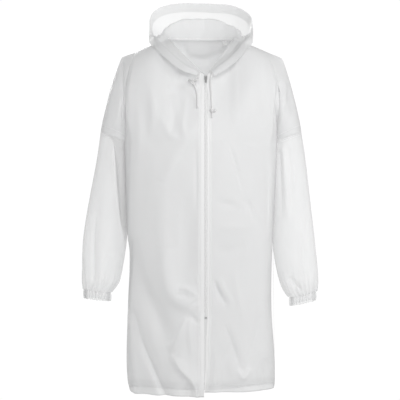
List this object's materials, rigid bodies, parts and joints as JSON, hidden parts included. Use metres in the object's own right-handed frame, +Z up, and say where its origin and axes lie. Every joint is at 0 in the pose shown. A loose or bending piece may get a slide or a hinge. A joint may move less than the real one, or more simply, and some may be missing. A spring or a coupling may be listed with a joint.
{
  "type": "raincoat",
  "caption": "Knee-length hooded raincoat of thin translucent white film, filled out as if worn, with a front zip, hood drawcord and gathered elastic cuffs.",
  "frame": {"origin": "middle of the neck at shoulder height, where the wearer holds the coat up", "axes": "+Z up, the front faces -Y, +X is the wearer's left"},
  "size_m": [0.6635, 0.3363, 1.123],
  "materials": {
    "film": "thin translucent white film",
    "elastic_casing": "doubled film round an elastic",
    "zip": "white woven tape and plastic teeth",
    "metal": "grey zip slider",
    "cord": "white braided cord",
    "label": "plain white label"
  },
  "bodies": {
    "coat": {"front_right": "film", "front_left": "film", "back": "film", "sleeve_right": "film", "sleeve_left": "film", "cuff_right": "elastic_casing", "cuff_left": "elastic_casing", "hood_side_right": "film", "hood_strip": "film", "hood_side_left": "film", "hood_casing": "film", "zip_tape_right": "zip", "zip_tape_left": "zip", "zip_chain": "zip", "zip_slider": "metal", "zip_bottom_stop": "metal", "neck_label": "label", "drawcord_left": "cord", "drawcord_right": "cord"},
    "pull": {"zip_pull": "metal"}
  },
  "joints": [
    {"name": "pull_swing", "type": "hinge", "parent": "coat", "child": "pull", "pos_m": [0.013, -0.10987, -0.09242], "axis": [-1, 0, 0], "range_deg": [0, 150]}
  ]
}
